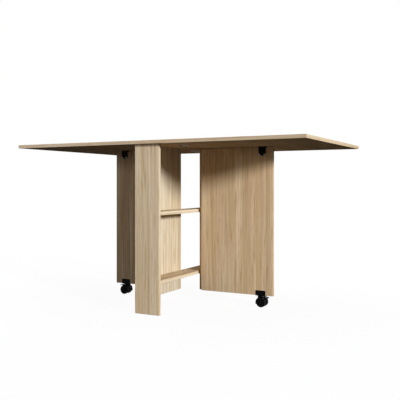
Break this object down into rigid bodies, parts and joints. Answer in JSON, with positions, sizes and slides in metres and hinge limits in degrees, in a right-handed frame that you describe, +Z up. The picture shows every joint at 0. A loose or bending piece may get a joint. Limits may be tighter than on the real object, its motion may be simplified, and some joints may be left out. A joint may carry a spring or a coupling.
{
  "type": "folding dining table",
  "caption": "Drop-leaf dining table opened out: oak-grain top on a slim shelved base, with swing-out gates on braked castors that carry the leaves.",
  "frame": {"origin": "on the floor, under the middle of the opened table", "axes": "+X along the opened length, +Y across the width, +Z up"},
  "size_m": [1.4, 0.8, 0.73],
  "materials": {
    "oak_laminate": "matt oak-grain laminate",
    "zinc": "die-cast zinc",
    "bright_steel": "bright steel",
    "nickel_hinge": "nickel-plated steel",
    "nickel_screw": "nickel-plated steel",
    "beech": "raw beech",
    "black_steel": "black powder coat",
    "black_nylon": "moulded black nylon",
    "ferrite": "sintered magnet"
  },
  "bodies": {
    "base": {"centre_top": "oak_laminate", "front_end_panel": "oak_laminate", "rear_end_panel": "oak_laminate", "left_fixed_panel": "oak_laminate", "right_fixed_panel": "oak_laminate", "upper_shelf": "oak_laminate", "lower_shelf": "oak_laminate", "cam_nuts": "zinc", "cam_bolts": "bright_steel", "wood_dowels": "beech", "gate_hinge_fixed_plates": "nickel_hinge", "gate_hinge_pins": "bright_steel", "gate_hinge_fixed_screws": "nickel_screw", "leaf_hinge_centre_plates": "nickel_hinge", "leaf_hinge_pins": "bright_steel", "leaf_hinge_centre_screws": "nickel_screw"},
    "left_leaf": {"left_leaf": "oak_laminate", "left_leaf_hinge_plates": "nickel_hinge", "left_leaf_hinge_screws": "nickel_screw", "left_strike_plate": "black_steel", "left_strike_screws": "black_steel"},
    "left_gate": {"left_gate": "oak_laminate", "left_gate_hinge_plates": "nickel_hinge", "left_gate_hinge_screws": "nickel_screw", "left_catch_saddle": "black_nylon", "left_catch_magnet": "ferrite", "left_catch_screws": "nickel_screw", "left_castor_bracket": "black_steel", "left_castor_bracket_screws": "black_steel", "left_castor_stem": "bright_steel"},
    "left_castor": {"left_castor_washer": "black_nylon", "left_castor_hood": "black_nylon", "left_castor_axle": "bright_steel"},
    "left_brake": {"left_brake_lever": "black_nylon"},
    "left_front_wheel": {"left_castor_front_wheel": "black_nylon"},
    "left_rear_wheel": {"left_castor_rear_wheel": "black_nylon"},
    "right_leaf": {"right_leaf": "oak_laminate", "right_leaf_hinge_plates": "nickel_hinge", "right_leaf_hinge_screws": "nickel_screw", "right_strike_plate": "black_steel", "right_strike_screws": "black_steel"},
    "right_gate": {"right_gate": "oak_laminate", "right_gate_hinge_plates": "nickel_hinge", "right_gate_hinge_screws": "nickel_screw", "right_catch_saddle": "black_nylon", "right_catch_magnet": "ferrite", "right_catch_screws": "nickel_screw", "right_castor_bracket": "black_steel", "right_castor_bracket_screws": "black_steel", "right_castor_stem": "bright_steel"},
    "right_castor": {"right_castor_washer": "black_nylon", "right_castor_hood": "black_nylon", "right_castor_axle": "bright_steel"},
    "right_brake": {"right_brake_lever": "black_nylon"},
    "right_front_wheel": {"right_castor_front_wheel": "black_nylon"},
    "right_rear_wheel": {"right_castor_rear_wheel": "black_nylon"}
  },
  "joints": [
    {"name": "left_gate_swing", "type": "hinge", "parent": "base", "child": "left_gate", "pos_m": [-0.0618, -0.0103, 0.3805], "axis": [0, 0, -1], "range_deg": [0, 90]},
    {"name": "left_leaf_lift", "type": "hinge", "parent": "base", "child": "left_leaf", "pos_m": [-0.081, 0, 0.7132], "axis": [0, 1, 0], "range_deg": [0, 5]},
    {"name": "left_castor_swivel", "type": "hinge", "parent": "left_gate", "child": "left_castor", "pos_m": [-0.3606, 0, 0.04], "axis": [0, 0, 1], "continuous": true},
    {"name": "left_front_wheel_spin", "type": "hinge", "parent": "left_castor", "child": "left_front_wheel", "pos_m": [-0.3656, 0, 0.0215], "axis": [0, 1, 0], "continuous": true},
    {"name": "left_rear_wheel_spin", "type": "hinge", "parent": "left_castor", "child": "left_rear_wheel", "pos_m": [-0.3656, 0, 0.0215], "axis": [0, 1, 0], "continuous": true},
    {"name": "left_brake_press", "type": "hinge", "parent": "left_castor", "child": "left_brake", "pos_m": [-0.37757, 0, 0.04401], "axis": [0, -1, 0], "range_deg": [0, 15]},
    {"name": "right_gate_swing", "type": "hinge", "parent": "base", "child": "right_gate", "pos_m": [0.0618, 0.0103, 0.3805], "axis": [0, 0, -1], "range_deg": [0, 90]},
    {"name": "right_leaf_lift", "type": "hinge", "parent": "base", "child": "right_leaf", "pos_m": [0.081, 0, 0.7132], "axis": [0, -1, 0], "range_deg": [0, 5]},
    {"name": "right_castor_swivel", "type": "hinge", "parent": "right_gate", "child": "right_castor", "pos_m": [0.3606, 0, 0.04], "axis": [0, 0, 1], "continuous": true},
    {"name": "right_front_wheel_spin", "type": "hinge", "parent": "right_castor", "child": "right_front_wheel", "pos_m": [0.3656, 0, 0.0215], "axis": [0, 1, 0], "continuous": true},
    {"name": "right_rear_wheel_spin", "type": "hinge", "parent": "right_castor", "child": "right_rear_wheel", "pos_m": [0.3656, 0, 0.0215], "axis": [0, 1, 0], "continuous": true},
    {"name": "right_brake_press", "type": "hinge", "parent": "right_castor", "child": "right_brake", "pos_m": [0.37757, 0, 0.04401], "axis": [0, 1, 0], "range_deg": [0, 15]}
  ]
}
